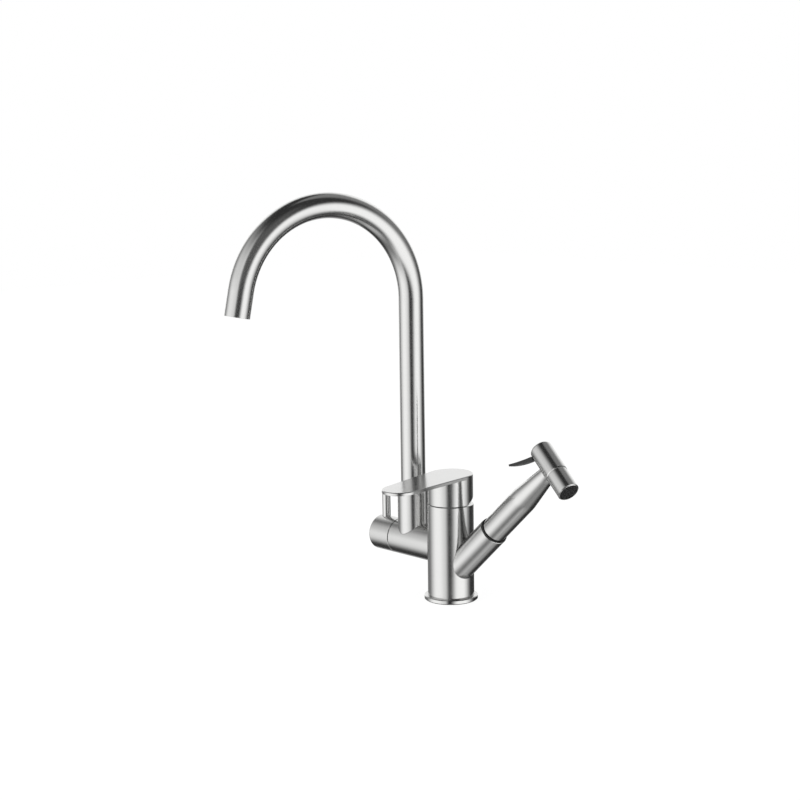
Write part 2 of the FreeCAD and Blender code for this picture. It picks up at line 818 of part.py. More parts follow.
def spout_end_frame():
    """At the middle of the spout's mouth, with Z along the falling water."""
    bend = size["SpoutBendRadius"]
    angle = size["SpoutBendAngle"]
    x = bend - bend * cosine(angle) + size["SpoutTail"] * sine(angle)
    z = bend_z + bend * sine(angle) + size["SpoutTail"] * cosine(angle)
    return SPOUT.then(shift(x=x, z=z)).then(turn(Y_AXIS, angle))


def perforated(name, frame, radius, low, high, hole_r, pitch, rings):
    """A round plate with a hole in its middle and rings of holes around it."""
    body = new_body(name, frame.then(shift(z=low)))
    sketch = new_sketch(body, "XY_Plane")
    draw_circle(sketch, 0, 0, radius)
    draw_circle(sketch, 0, 0, hole_r)
    for ring_number in range(1, rings + 1):
        count = 6 * ring_number
        for n in range(count):
            angle = as_size(360.0 * n / count)
            away = pitch * ring_number
            draw_circle(sketch, away * cosine(angle), away * sine(angle), hole_r)
    pad = body.newObject("PartDesign::Pad", name + "_pad")
    pad.Profile = sketch
    pad.setExpression("Length", (high - low).formula)
    return body


def make_aerator():
    mouth = spout_end_frame()
    outer = spout_r - size["SpoutWall"] - FIT
    inner = outer - size["AeratorWall"]
    low = -size["AeratorDepth"]
    high = -size["AeratorInset"]
    shelf = high - size["ScreenThick"] - FIT
    keep(turned("aerator_shell", mouth, [
        (inner, low), (outer, low), (outer, high), (inner + size["AeratorWall"] / 2, high),
        (inner + size["AeratorWall"] / 2, shelf), (inner, shelf),
    ]), "aerator_shell")
    keep(perforated("aerator_screen", mouth, inner + size["AeratorWall"] / 2 - FIT, shelf + FIT,
                    high - FIT, size["ScreenHoleDia"] / 2, size["ScreenPitch"], 1),
         "aerator_screen")
    keep(ring("aerator_seal", mouth, inner, outer, low - size["SealThick"], low), "aerator_seal")


# ---------------------------------------------------------------- spray socket

dock_bore_r = size["DockBoreDia"] / 2
liner_bore_r = dock_bore_r - FIT - size["LinerWall"]
liner_rim = size["LinerRim"]


def make_spray_socket():
    length = size["DockLength"]
    hose_r = size["DockHoseDia"] / 2
    step = length - size["DockBoreDepth"]
    tube = turned("spray_socket", DOCK, [
        (hose_r, 0), (dock_r, 0), (dock_r, length - EDGE), (dock_r - EDGE, length),
        (dock_bore_r, length), (dock_bore_r, step), (hose_r, step),
    ])
    column_tool = rod(WORLD, column_r + FIT, 0, column_top)
    keep(cut(tube, column_tool), "spray_socket")
    rim_frame = DOCK.then(shift(z=length))
    outer = dock_bore_r - FIT
    keep(turned("socket_liner", rim_frame, [
        (liner_bore_r, -size["LinerLength"]), (outer, -size["LinerLength"]), (outer, 0),
        (size["LinerRimDia"] / 2, 0), (size["LinerRimDia"] / 2, liner_rim),
        (liner_bore_r, liner_rim),
    ]), "socket_liner")


# ---------------------------------------------------------------- hand spray

head_r = size["HeadDia"] / 2
head_bore_r = head_r - size["HeadWall"]
head_water_r = size["SpigotBoreDia"] / 2
# the trigger's pin is sprung, and snaps into two blind holes half way through the head's wall
pivot_half = root(head_bore_r * head_bore_r - size["PivotAcross"] * size["PivotAcross"]) \
    + size["HeadWall"] / 2


def make_handle():
    stub_r = liner_bore_r - RUN
    cup_r = stub_r - size["StubWall"]
    low = -size["StubLength"]
    cup_z = low + size["StubCupDepth"]
    grip_r = size["GripDia"] / 2
    neck_r = size["NeckDia"] / 2
    water_r = size["HandleWaterDia"] / 2
    shoulder = liner_rim + RUN
    top = size["HeadPlace"]
    shaft = turned("handset_handle", HANDLE, [
        (water_r, cup_z), (cup_r, cup_z), (cup_r, low), (stub_r, low), (stub_r, shoulder),
        (grip_r - EDGE, shoulder), (grip_r, shoulder + EDGE), (grip_r, size["GripLength"]),
        (neck_r, size["NeckPlace"]), (neck_r, top), (water_r, top),
    ])
    blended = polished_edges(shaft, size["GripBend"], lambda edge: is_circle(
        edge, grip_r.number) and near_plane(edge, HANDLE, size["GripLength"].number)
        or is_circle(edge, neck_r.number) and near_plane(edge, HANDLE, size["NeckPlace"].number))
    saddle = rod(HEAD, head_r + FIT, -size["HeadBack"], size["HeadFront"])
    keep(cut(blended, saddle), "handset_handle")

    collar_r = cup_r - RUN
    collar_z = cup_z - RUN
    clip_z = low + size["ClipThick"]
    thread_low = low - size["TailThread"]
    tail_r = size["TailThreadDia"] / 2
    bore = size["TailWaterDia"] / 2
    keep(turned("swivel_tail", HANDLE, [
        (bore, thread_low), (tail_r, thread_low), (tail_r, clip_z + RUN), (collar_r, clip_z + RUN),
        (collar_r, collar_z), (bore, collar_z),
    ]), "swivel_tail")
    keep(ring("tail_clip", HANDLE, tail_r + RUN, cup_r - FIT, low, clip_z), "tail_clip")


def make_head():
    back = -size["HeadBack"]
    seam = size["HeadSeam"]
    web_high = -size["WebPlace"]
    web_low = web_high - size["WebThick"]
    web_hole = size["StemDia"] / 2 + FIT
    shell = turned("handset_head", HEAD, [
        (0, back), (head_r, back), (head_r, seam - size["HeadBevel"]),
        (size["NozzleDia"] / 2 + FIT, seam), (head_bore_r, seam), (head_bore_r, web_high),
        (web_hole, web_high), (web_hole, web_low), (head_bore_r, web_low),
        (head_bore_r, back + size["BackWall"]), (0, back + size["BackWall"]),
    ])
    rounded = polished_edges(shell, size["HeadRound"], lambda edge: is_circle(
        edge, head_r.number) and near_plane(edge, HEAD, back.number))
    toward_socket = across(HEAD)
    inlet = rod(toward_socket, size["HandleWaterDia"] / 2, head_bore_r / 2, head_r * 2)
    half = size["TriggerWebWide"] / 2 + RUN
    slot = block(HEAD, (size["HubDia"], head_r * 2), (-half, half),
                 (back - PAST, web_low - FIT))
    pin_way = rod(across(HEAD, x=-size["PivotAcross"], z=-size["PivotBack"], axis=X_AXIS),
                  size["PivotPinDia"] / 2 + FIT, -pivot_half - FIT, pivot_half + FIT)
    keep(cut(rounded, inlet, slot, pin_way), "handset_head")


def make_nozzle():
    outer = size["NozzleDia"] / 2
    spigot_r = head_bore_r - FIT
    seam = size["HeadSeam"] + FIT
    front = size["HeadFront"]
    bevel = size["NozzleBevel"]
    face_r = outer - size["NozzleWall"]
    face_low = front - size["FaceInset"] - size["FaceThick"]
    shelf_r = face_r - size["FaceShelf"]
    perch = size["PerchPlace"]
    perch_high = perch + size["PerchThick"]
    hole = size["PerchHoleDia"] / 2
    body = turned("nozzle_sleeve", HEAD, [
        (head_water_r, seam - size["SpigotLength"]), (spigot_r, seam - size["SpigotLength"]),
        (spigot_r, seam), (outer, seam), (outer, front - bevel), (outer - bevel, front),
        (face_r, front), (face_r, face_low),
        (shelf_r, face_low), (shelf_r, perch_high), (hole, perch_high), (hole, perch),
        (head_water_r, perch),
    ])
    port_place = (hole + head_water_r) / 2
    ports = []
    for n in range(6):
        spoke = HEAD.then(turn(Z_AXIS, 60 * n)).then(shift(x=port_place))
        ports.append(rod(spoke, hole, perch - PAST, perch_high + PAST))
    keep(cut(body, *ports), "nozzle_sleeve")
    keep(perforated("spray_face", HEAD, face_r - FIT, face_low + FIT, front - size["FaceInset"],
                    size["FaceHoleDia"] / 2, size["FacePitch"], 2), "spray_face")


def make_spray_valve():
    seat_low = size["SeatRingPlace"]
    seat_high = seat_low + size["SeatRingThick"]
    stem_r = size["StemDia"] / 2
    keep(ring("spray_seat", HEAD, size["SeatBoreDia"] / 2, head_water_r - FIT, seat_low,
              seat_high), "spray_seat")
    disc_r = size["PlungerDiscDia"] / 2
    disc_low = seat_high + FIT
    disc_high = disc_low + size["PlungerDiscThick"]
    guide_r = size["PlungerGuideDia"] / 2
    guide_top = disc_high + size["PlungerGuideLength"]
    tip = -size["PlungerTip"]
    nose = size["PlungerNose"]
    keep(turned("spray_plunger", HEAD, [
        (0, tip), (nose, tip), (stem_r, tip + nose), (stem_r, disc_low), (disc_r, disc_low),
        (disc_r, disc_high), (guide_r, disc_high), (guide_r, guide_top), (0, guide_top),
    ]), "spray_plunger")
    web_high = -size["WebPlace"]
    keep(ring("plunger_seal", HEAD, stem_r + FIT, head_bore_r - FIT, web_high,
              web_high + size["SealThick"]), "plunger_seal")
    make_spring(disc_high + FIT, size["PerchPlace"] - FIT)


def make_spring(low, high):
    """The closing spring, a square wire wound about the plunger's guide."""
    wire_r = size["SpringWire"] / 2
    coil_r = size["SpringCoilDia"] / 2
    length = high.number - low.number - 2 * wire_r.number
    helix = Part.makeHelix(length / size["SpringTurns"].number, length, coil_r.number)
    half = wire_r.number
    corners = [Vector(coil_r.number + half * x, 0, half * z)
               for x, z in ((-1, -1), (1, -1), (1, 1), (-1, 1), (-1, -1))]
    section = Part.makePolygon(corners)
    wire = Part.Wire(helix.Edges)
    spring = doc.addObject("Part::Feature", "spray_spring_solid")
    spring.Shape = wire.makePipeShell([section], True, True)
    place(spring, HEAD.then(shift(z=low + wire_r)))
    keep(spring, "spray_spring")


def make_trigger():
    """A claw: a narrow web inside the head, and a wider blade that sweeps back over the handle."""
    pivot_x = -size["PivotAcross"]
    pivot_z = -size["PivotBack"]
    hub_r = size["HubDia"] / 2
    root_x = size["TriggerRoot"]
    root_back = -size["TriggerRootBack"]
    root_front = root_back + size["TriggerRootThick"]
    tip_x = size["TriggerReach"]
    tip_back = -size["TriggerSweep"]
    tip_front = tip_back + size["TriggerTipThick"]
    arm_x = size["TriggerArmEnd"]
    lap_x = root_x + size["TriggerLap"]
    web = new_body("trigger_web", HEAD)
    sketch = new_sketch(web, "XZ_Plane")
    draw_loop(sketch, [
        (pivot_x, pivot_z - hub_r), (arm_x, pivot_z - hub_r), (lap_x, root_back),
        (lap_x, root_front), (arm_x, pivot_z + size["TriggerArmTop"]),
        (pivot_x, pivot_z + hub_r),
    ])
    sweep_pad(web, sketch, size["TriggerWebWide"])
    blade = new_body("trigger_blade", HEAD)
    outline = new_sketch(blade, "XZ_Plane")
    back_bend = size["TriggerBackBend"]
    front_bend = size["TriggerFrontBend"]
    draw_loop(outline, [
        (root_x, root_back), (tip_x, tip_back), (tip_x + size["TriggerTipThick"] / 2, tip_front),
        (root_x, root_front),
    ], {0: (back_bend, bulge(root_x, root_back, tip_x, tip_back, back_bend)),
        2: (front_bend, bulge(root_x, root_front, tip_x, tip_front, front_bend))})
    sweep_pad(blade, outline, size["TriggerWide"])

    def at_tip_corner(edge):
        middle = HEAD.placement.inverse().multVec(edge.CenterOfMass)
        return middle.x > tip_x.number and abs(middle.y) > half_wide.number - NEAR

    half_wide = size["TriggerWide"] / 2
    finger_end = polished_edges(blade, size["TriggerTipRound"], at_tip_corner)
    hub_frame = across(HEAD, x=pivot_x, z=pivot_z, axis=X_AXIS)
    half = size["TriggerWebWide"] / 2
    hub = rod(hub_frame, hub_r, -half, half)
    pin_r = size["PivotPinDia"] / 2
    pin_way = rod(hub_frame, pin_r + FIT, -head_r, head_r)
    keep(cut(joined(web, finger_end, hub), pin_way), "spray_trigger")
    keep(rod(hub_frame, pin_r, -pivot_half, pivot_half), "trigger_pin")


def bulge(x0, z0, x1, z1, radius):
    """A point near the middle of the arc that bows away from the head's back."""
    chord = Vector(x1.number - x0.number, z1.number - z0.number, 0)
    sag = radius.number - math.sqrt(radius.number ** 2 - chord.Length ** 2 / 4)
    aside = Vector(-chord.y, chord.x, 0).normalize() * sag
    middle = Vector(x0.number, z0.number, 0) + chord * 0.5 + aside
    return (middle.x, middle.y)


def sweep_pad(body, sketch, width):
    pad = body.newObject("PartDesign::Pad", body.Name + "_pad")
    pad.Profile = sketch
    pad.Midplane = True
    pad.setExpression("Length", width.formula)


# ---------------------------------------------------------------- cartridge

stem_half = size["StemSide"] / 2
disc_low = seat_z + size["CartridgeBase"]
disc_mid = disc_low + size["DiscThick"]
carrier_low = disc_mid + size["DiscThick"]
carrier_high = carrier_low + size["CarrierThick"]


def make_cartridge():
    wall = size["CartridgeWall"]
    mouth_r = size["CartridgeMouthDia"] / 2
    lip_low = cartridge_top - size["CartridgeLip"]
    bore_r = housing_r - wall
    housing = turned("cartridge_housing", WORLD, [
        (0, seat_z + FIT), (housing_r, seat_z + FIT), (housing_r, cartridge_top),
        (mouth_r, cartridge_top), (mouth_r, lip_low), (bore_r, lip_low),
        (bore_r, disc_low), (0, disc_low),
    ])
    places = (INLET_HOT, INLET_COLD, (-size["MixedPlace"], as_size(0)))
    port_r = size["PortDia"] / 2
    keep(cut(housing, *[rod(shift(x, y), port_r, seat_z, disc_low + PAST) for x, y in places]),
         "cartridge_housing")
    fixed = disc("ceramic_disc_fixed", WORLD, bore_r - FIT, disc_low, disc_mid)
    keep(cut(fixed, *[rod(shift(x, y), port_r, seat_z, disc_mid + PAST) for x, y in places]),
         "ceramic_disc_fixed")
    moving_r = size["MovingDiscDia"] / 2
    moving = disc("ceramic_disc_moving", LEVER, moving_r, disc_mid, carrier_low)
    hollow = rod(LEVER.then(shift(x=-port_r)), size["HollowDia"] / 2, disc_mid - PAST,
                 disc_mid + size["DiscThick"] / 2)
    keep(cut(moving, hollow), "ceramic_disc_moving")
    keep(ring("disc_carrier", LEVER, size["CarrierHoleDia"] / 2, moving_r, carrier_low,
              carrier_high), "disc_carrier")

    rotor_r = bore_r - RUN
    neck_r = size["RotorNeckDia"] / 2
    rotor = turned("cartridge_rotor", LEVER, [
        (0, rotor_low), (rotor_r, rotor_low), (rotor_r, lip_low - RUN),
        (neck_r, lip_low - RUN), (neck_r, rotor_top), (0, rotor_top),
    ])
    slot_half = size["StemSlot"] / 2
    slot = block(LEVER, (-stem_half - RUN, stem_half + RUN), (-slot_half, slot_half),
                 (rotor_low - PAST, rotor_top + PAST))
    tilt_frame = across(LEVER, z=tilt_z)
    pin_r = size["TiltPinDia"] / 2
    keep(cut(rotor, slot, rod(tilt_frame, pin_r + FIT, -rotor_r, rotor_r)), "cartridge_rotor")
    pin_half = neck_r - FIT
    keep(rod(tilt_frame, pin_r, -pin_half, pin_half), "tilt_pin")

    bar = block(LEVER, (-stem_half, stem_half), (-stem_half, stem_half),
                (tilt_z - stem_half, stem_top))
    toe = rod(LEVER, size["ToeDia"] / 2, carrier_low + RUN, tilt_z)
    pin_way = rod(tilt_frame, pin_r + FIT, -stem_half * 2, stem_half * 2)
    keep(cut(joined(bar, toe), pin_way), "lever_stem")

    nut_r = size["NutBoreDia"] / 2 - FIT
    nut = turned("cartridge_nut", WORLD, [
        (size["NutMouthDia"] / 2, cartridge_top + FIT),
        (housing_r + FIT, cartridge_top + FIT), (housing_r + FIT, nut_seat + FIT),
        (nut_r, nut_seat + FIT), (nut_r, nut_top),
        (size["NutMouthDia"] / 2, nut_top),
    ])
    half = size["NotchWide"] / 2
    notches = [block(turn(Z_AXIS, 45 * n), (-half, half), (-nut_r * 2, nut_r * 2),
                     (nut_top - size["NotchDepth"], nut_top + PAST))
               for n in range(4)]
    keep(cut(nut, *notches), "cartridge_nut")
    make_dome(nut_r)


def make_dome(foot_r):
    """The polished cover over the nut. Its outside is a ball about the lever's pivot, so the cap
    can tilt close over it, and its inside a plain cone."""
    outer = size["DomeDia"] / 2
    inner = outer - size["DomeWall"]
    low = nut_top + FIT
    step = low + size["DomeFoot"]
    pivot = tilt_z
    mouth_r = size["DomeMouthDia"] / 2

    def height_on(ball_r, away):
        return pivot + root(ball_r * ball_r - away * away)

    def width_on(ball_r, height):
        return root(ball_r * ball_r - (height - pivot) * (height - pivot))

    corners = [
        (width_on(inner, low), low), (foot_r, low), (foot_r, step), (width_on(outer, step), step),
        (mouth_r, height_on(outer, mouth_r)), (mouth_r, height_on(inner, mouth_r)),
    ]
    slant = outer.number * math.sqrt(0.5)
    dome = new_body("cartridge_dome", WORLD)
    sketch = new_sketch(dome, "XZ_Plane")
    draw_loop(sketch, corners, {3: (outer, (slant, pivot.number + slant))})
    revolve(dome, sketch)
    keep(dome, "cartridge_dome")


# ---------------------------------------------------------------- lever

cap_r = size["CapDia"] / 2
cap_low = column_top + size["SeamGap"]


def make_lever_cap():
    """One casting: a round cap with a flat paddle that leaves it without a step."""
    tip_r = size["PaddleTipDia"] / 2
    centre = size["PaddleReach"] - tip_r
    lean_cos = (cap_r - tip_r) / centre
    lean_sin = root(1 - lean_cos * lean_cos)
    slope_top = paddle_top + size["PaddleThick"]
    body = new_body("lever_cap", LEVER.then(shift(z=cap_low)))
    plan = new_sketch(body, "XY_Plane")
    draw_loop(plan, [
        (-cap_r * lean_sin, -cap_r * lean_cos),
        (-tip_r * lean_sin, -centre - tip_r * lean_cos),
        (tip_r * lean_sin, -centre - tip_r * lean_cos),
        (cap_r * lean_sin, -cap_r * lean_cos),
    ], {1: (tip_r, (0, -size["PaddleReach"].number)), 3: (cap_r, (0, cap_r.number))})
    pad = body.newObject("PartDesign::Pad", "lever_plan_pad")
    pad.Profile = plan
    pad.setExpression("Length", (slope_top - cap_low).formula)

    # below the paddle only the round cap stays
    slope = LEVER.then(shift(z=paddle_top)).then(turn(X_AXIS, size["PaddleSlope"]))
    wide = size["PaddleReach"] * 2
    under = block(slope, (-wide, wide), (-wide, wide), (-wide, -size["PaddleThick"]))
    above = block(slope, (-wide, wide), (-wide, wide), (0, wide))
    round_cap = rod(LEVER, cap_r, cap_low - PAST, slope_top)
    waste = cut(under, round_cap)
    relief_turn = turn(X_AXIS, size["ReliefAngle"])
    relief_frame = LEVER.then(shift(y=-size["ReliefStart"], z=cap_low)).then(relief_turn)
    relief = block(relief_frame, (-cap_r * 2, cap_r * 2), (0, cap_r * 4), (-cap_r * 2, 0))
    outside = polished_edges(cut(body, waste, above, relief), size["PaddleBevel"],
                             lambda edge: near_plane(edge, slope, 0), "Part::Chamfer")
    cavity = rod(LEVER, cap_r - size["CapWall"], cap_low - PAST, cap_roof)
    boss = rod(LEVER, size["BossDia"] / 2, boss_low, cap_roof + PAST)
    hollowed = joined(cut(outside, cavity), boss)
    half = stem_half + FIT
    stem_way = block(LEVER, (-half, half), (-half, half),
                     (boss_low - PAST, stem_top + FIT))
    rear = across(LEVER, z=grub_z, axis=X_AXIS, angle=-90)
    grub_way = rod(rear, size["GrubDia"] / 2 + FIT, 0, cap_r)
    plug_way = rod(rear, size["PlugDia"] / 2 + FIT, size["BossDia"] / 2 + FIT, cap_r * 2)
    keep(cut(hollowed, stem_way, grub_way, plug_way), "lever_cap")

    grub_low = stem_half + FIT
    grub_high = grub_low + size["GrubLength"]
    grub = rod(rear, size["GrubDia"] / 2, grub_low, grub_high)
    keep(cut(grub, hex_socket(rear, size["GrubDia"], grub_high)), "lever_grub_screw")
    plug_high = cap_r - size["PlugInset"]
    keep(rod(rear, size["PlugDia"] / 2, plug_high - size["PlugThick"], plug_high), "lever_plug")


# ---------------------------------------------------------------- build, check and write

make_foot()
make_column()
make_branch()
make_stop_valve()
make_spout_socket()
make_spout_foot()
make_spout_tube()
make_aerator()
make_spray_socket()
make_handle()
make_head()
make_nozzle()
make_spray_valve()
make_trigger()
make_cartridge()
make_lever_cap()
doc.recompute()

problems = [thing.Name + " " + str(thing.State) for thing in doc.Objects
            if "Invalid" in thing.State or "Error" in thing.State]
for piece in pieces:
    if piece.Shape.isNull() or not piece.Shape.isValid() or not piece.Shape.Solids:
        problems.append(piece.Label + " has no valid solid")
if problems:
    raise RuntimeError("; ".join(problems))

os.makedirs("parts", exist_ok=True)
for piece in pieces:
    piece.Shape.exportStep("parts/" + piece.Label + ".step")
print(len(pieces), "pieces written")
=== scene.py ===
import json
import math
import bmesh
import bpy
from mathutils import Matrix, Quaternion, Vector


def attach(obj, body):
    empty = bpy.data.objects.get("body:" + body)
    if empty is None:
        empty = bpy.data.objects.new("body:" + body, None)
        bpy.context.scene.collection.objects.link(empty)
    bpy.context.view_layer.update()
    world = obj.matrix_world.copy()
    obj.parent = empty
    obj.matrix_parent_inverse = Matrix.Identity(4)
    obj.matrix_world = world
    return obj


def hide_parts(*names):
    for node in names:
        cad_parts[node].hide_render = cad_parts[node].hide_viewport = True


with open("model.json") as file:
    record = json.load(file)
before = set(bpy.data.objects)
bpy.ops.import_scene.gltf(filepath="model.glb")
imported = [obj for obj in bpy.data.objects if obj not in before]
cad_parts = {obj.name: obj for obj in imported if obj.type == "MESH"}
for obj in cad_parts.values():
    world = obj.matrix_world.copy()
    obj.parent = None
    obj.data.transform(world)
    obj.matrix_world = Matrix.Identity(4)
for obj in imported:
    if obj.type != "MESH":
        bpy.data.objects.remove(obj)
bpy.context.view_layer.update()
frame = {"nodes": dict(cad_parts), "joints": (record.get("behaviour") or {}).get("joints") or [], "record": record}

MM = 0.001
scene = bpy.context.scene
scene.view_settings.view_transform = "Standard"


# ---------------------------------------------------------------- the view and the studio
# The faucet stands in a white photographer's cove. The camera looks from the user's right, a
# little above the lever, with a long lens.

CAMERA_PLACE = Vector((1.138216, -1.115738, 0.45385))
CAMERA_AIM = Vector((-0.72430, 0.67008, -0.16243))
CAMERA_ROLL = math.radians(0.827)

camera = bpy.data.objects.new("camera", bpy.data.cameras.new("camera"))
scene.collection.objects.link(camera)
scene.camera = camera
camera.data.sensor_width = 36
camera.data.lens = 77.8
camera.location = CAMERA_PLACE
camera.rotation_mode = "QUATERNION"
camera.rotation_quaternion = (CAMERA_AIM.to_track_quat("-Z", "Y")
                              @ Quaternion((0, 0, 1), -CAMERA_ROLL))


def node(tree, kind, inputs=None, **settings):
    """A node with its settings, and its inputs set to values or linked to other nodes' outputs."""
    made = tree.nodes.new(kind)
    for name, value in settings.items():
        setattr(made, name, value)
    for socket, value in (inputs or {}).items():
        if isinstance(value, bpy.types.NodeSocket):
            tree.links.new(value, made.inputs[socket])
        else:
            made.inputs[socket].default_value = value
    return made


# What metal shows: two tall soft boxes left and right of the lens, a dark gap between them where
# the camera stands, dim walls above the lens and past the boxes, and a pale wall behind the
# faucet. The floor glows near the foot, and the rest of the room is almost dark.
studio = bpy.data.worlds.new("studio")
studio.use_nodes = True
scene.world = studio
room = studio.node_tree
room.nodes.clear()
CAMERA_SIDE = math.atan2(CAMERA_AIM.y, -CAMERA_AIM.x)
turned_room = node(room, "ShaderNodeMapping", {
    "Vector": node(room, "ShaderNodeTexCoord").outputs["Generated"],
    "Rotation": (0, 0, CAMERA_SIDE)}, vector_type="POINT")
ray = node(room, "ShaderNodeSeparateXYZ", {0: turned_room.outputs[0]})
side_angle = node(room, "ShaderNodeMath", {
    0: node(room, "ShaderNodeMath", {0: ray.outputs["Y"], 1: ray.outputs["X"]},
            operation="ARCTAN2").outputs[0]}, operation="DEGREES").outputs[0]
height_angle = node(room, "ShaderNodeMath", {
    0: node(room, "ShaderNodeMath", {0: ray.outputs["Z"]}, operation="ARCSINE").outputs[0]},
    operation="DEGREES").outputs[0]
away_angle = node(room, "ShaderNodeMath", {0: side_angle}, operation="ABSOLUTE").outputs[0]


def fade(angle, middle, half):
    """Rises from 0 to 1 about this angle, in degrees; a negative half makes it fall instead."""
    return node(room, "ShaderNodeMapRange", {
        "Value": angle, "From Min": middle - half, "From Max": middle + half},
        interpolation_type="SMOOTHSTEP").outputs[0]


def soft_box(level, side, height, lean=0.0, sides=side_angle):
    """A glowing patch of the room. Side and height are each low end, its fade, high end, its fade.

    The low side leans over by this many degrees for each degree of height."""
    low, low_fade, high, high_fade = side
    bottom, bottom_fade, top, top_fade = height
    leant = node(room, "ShaderNodeMath", {0: height_angle, 1: -lean, 2: sides},
                 operation="MULTIPLY_ADD").outputs[0]
    patch = fade(leant, low, low_fade)
    for factor in (fade(sides, high, -high_fade), fade(height_angle, bottom, bottom_fade),
                   fade(height_angle, top, -top_fade), level):
        patch = node(room, "ShaderNodeMath", {0: patch, 1: factor}, operation="MULTIPLY").outputs[0]
    return patch


EVERY_SIDE = (-10, 5, 200, 5)
EVERY_HEIGHT = (-100, 5, 100, 5)
patches = [
    soft_box(0.10, (-34, 10, 46, 12), (6, 8, 52, 14)),                   # dim wall above the lens
    soft_box(0.95, (-108, 26, -20, 10), (-46, 22, 48, 22)),              # left box, all of it
    soft_box(0.46, (-100, 26, -42, 20), (-36, 22, 12, 14)),              # its bright middle
    soft_box(0.20, (-162, 10, -104, 18), (-28, 16, 50, 14)),             # wall past the left box
    soft_box(1.47, (30, 17, 86, 27), (-48, 16, 15, 16), lean=1.1),       # right box, leaning
    soft_box(0.26, (96, 14, 165, 10), (8, 18, 88, 12)),                  # wall past the right box
    soft_box(1.12, (140, 14, 200, 5), (-8, 8, 42, 8), sides=away_angle),      # wall behind
    soft_box(0.50, (164, 6, 200, 5), (-44, 14, -6, 10), sides=away_angle),    # its foot
    soft_box(0.46, EVERY_SIDE, (-110, 5, -70, 12), sides=away_angle),    # floor close to the foot
    soft_box(0.20, (-150, 20, 0, 16), (-110, 5, -58, 12)),               # and left of it
    soft_box(0.045, EVERY_SIDE, EVERY_HEIGHT, sides=away_angle),         # the little that is left
]
glow = patches[0]
for patch in patches[1:]:
    glow = node(room, "ShaderNodeMath", {0: glow, 1: patch}, operation="ADD").outputs[0]

PLAIN_LEVEL = 0.75
looking = node(room, "ShaderNodeLightPath")
lit = node(room, "ShaderNodeMix", {0: looking.outputs["Is Glossy Ray"], 2: PLAIN_LEVEL, 3: glow},
           data_type="FLOAT").outputs[0]
bare = node(room, "ShaderNodeMath", {
    0: looking.outputs["Is Camera Ray"], 1: looking.outputs["Is Transmission Ray"]},
    operation="MAXIMUM").outputs[0]
seen = node(room, "ShaderNodeMix", {0: bare, 2: lit, 3: 1.0}, data_type="FLOAT").outputs[0]
backdrop = node(room, "ShaderNodeBackground", {"Color": (1, 1, 1, 1), "Strength": seen})
node(room, "ShaderNodeOutputWorld", {"Surface": backdrop.outputs[0]})
studio.cycles.sampling_method = "NONE"


def linear(code):
    """An sRGB hex colour as linear RGBA."""
    parts = [int(code[n:n + 2], 16) / 255 for n in (1, 3, 5)]
    return (*[c / 12.92 if c <= 0.04045 else ((c + 0.055) / 1.055) ** 2.4 for c in parts], 1)


# The cove's floor is matt white paper that burns out to the background, except for a faint
# shadow. Metal looks past it at the soft boxes, which hang lower than the object.
FLOOR_SIDE = 6.0
PAPER_GLOW = 0.86
BURNT_OUT_LEVEL = 1.06
shape = bmesh.new()
bmesh.ops.create_grid(shape, x_segments=1, y_segments=1, size=FLOOR_SIDE / 2)
floor = bpy.data.objects.new("cove_floor", bpy.data.meshes.new("cove_floor"))
shape.to_mesh(floor.data)
shape.free()
scene.collection.objects.link(floor)
paper = bpy.data.materials.new("matt_white_paper")
paper.use_nodes = True
tree = paper.node_tree
tree.nodes.clear()
looking = node(tree, "ShaderNodeLightPath")
matt = node(tree, "ShaderNodeBsdfDiffuse", {"Color": linear("#f4f4f4")})
burnt_out = node(tree, "ShaderNodeEmission", {"Strength": BURNT_OUT_LEVEL})
lit_paper = node(tree, "ShaderNodeMixShader", {
    0: node(tree, "ShaderNodeMath", {0: looking.outputs["Is Camera Ray"], 1: PAPER_GLOW},
            operation="MULTIPLY").outputs[0],
    1: matt.outputs[0], 2: burnt_out.outputs[0]})
passing = node(tree, "ShaderNodeBsdfTransparent")
surface = node(tree, "ShaderNodeMixShader", {
    0: looking.outputs["Is Glossy Ray"], 1: lit_paper.outputs[0], 2: passing.outputs[0]})
node(tree, "ShaderNodeOutputMaterial", {"Surface": surface.outputs[0]})
floor.data.materials.append(paper)


FAUCET_MIDDLE = Vector((0, 0, 0.15))
LAMP_SIDE = 1.2


def hang_lamp(name, place, power):
    """A square soft lamp that faces the middle of the faucet."""
    lamp = bpy.data.objects.new(name, bpy.data.lights.new(name, "AREA"))
    scene.collection.objects.link(lamp)
    lamp.data.shape = "SQUARE"
    lamp.data.size = LAMP_SIDE
    lamp.data.energy = power
    lamp.location = place
    lamp.rotation_mode = "QUATERNION"
    lamp.rotation_quaternion = (FAUCET_MIDDLE - lamp.location).to_track_quat("-Z", "Y")
    lamp.visible_camera = False
    lamp.visible_glossy = False


hang_lamp("left_lamp", Vector((-0.5, -1.7, 1.3)), 14)
hang_lamp("right_lamp", Vector((1.7, 0.6, 1.1)), 8)


# ---------------------------------------------------------------- foot
# A black rubber gasket seals the foot to the deck, and a turned and polished stainless ring covers
# it. Inside sits a brass plate with the threads of the stud and hoses, and drawn copper pipes.

def start_material(name):
    """A new material, its tree, its shader and the place of a point on the piece, in metres."""
    material = bpy.data.materials.new(name)
    material.use_nodes = True
    made = material.node_tree
    return material, made, made.nodes["Principled BSDF"], node(
        made, "ShaderNodeTexCoord").outputs["Object"]


def connect(tree, shader, **inputs):
    """Set or link the shader's own sockets, each named in plain words."""
    for name, value in inputs.items():
        socket = shader.inputs[name.replace("_", " ").title()]
        if isinstance(value, bpy.types.NodeSocket):
            tree.links.new(value, socket)
        else:
            socket.default_value = value


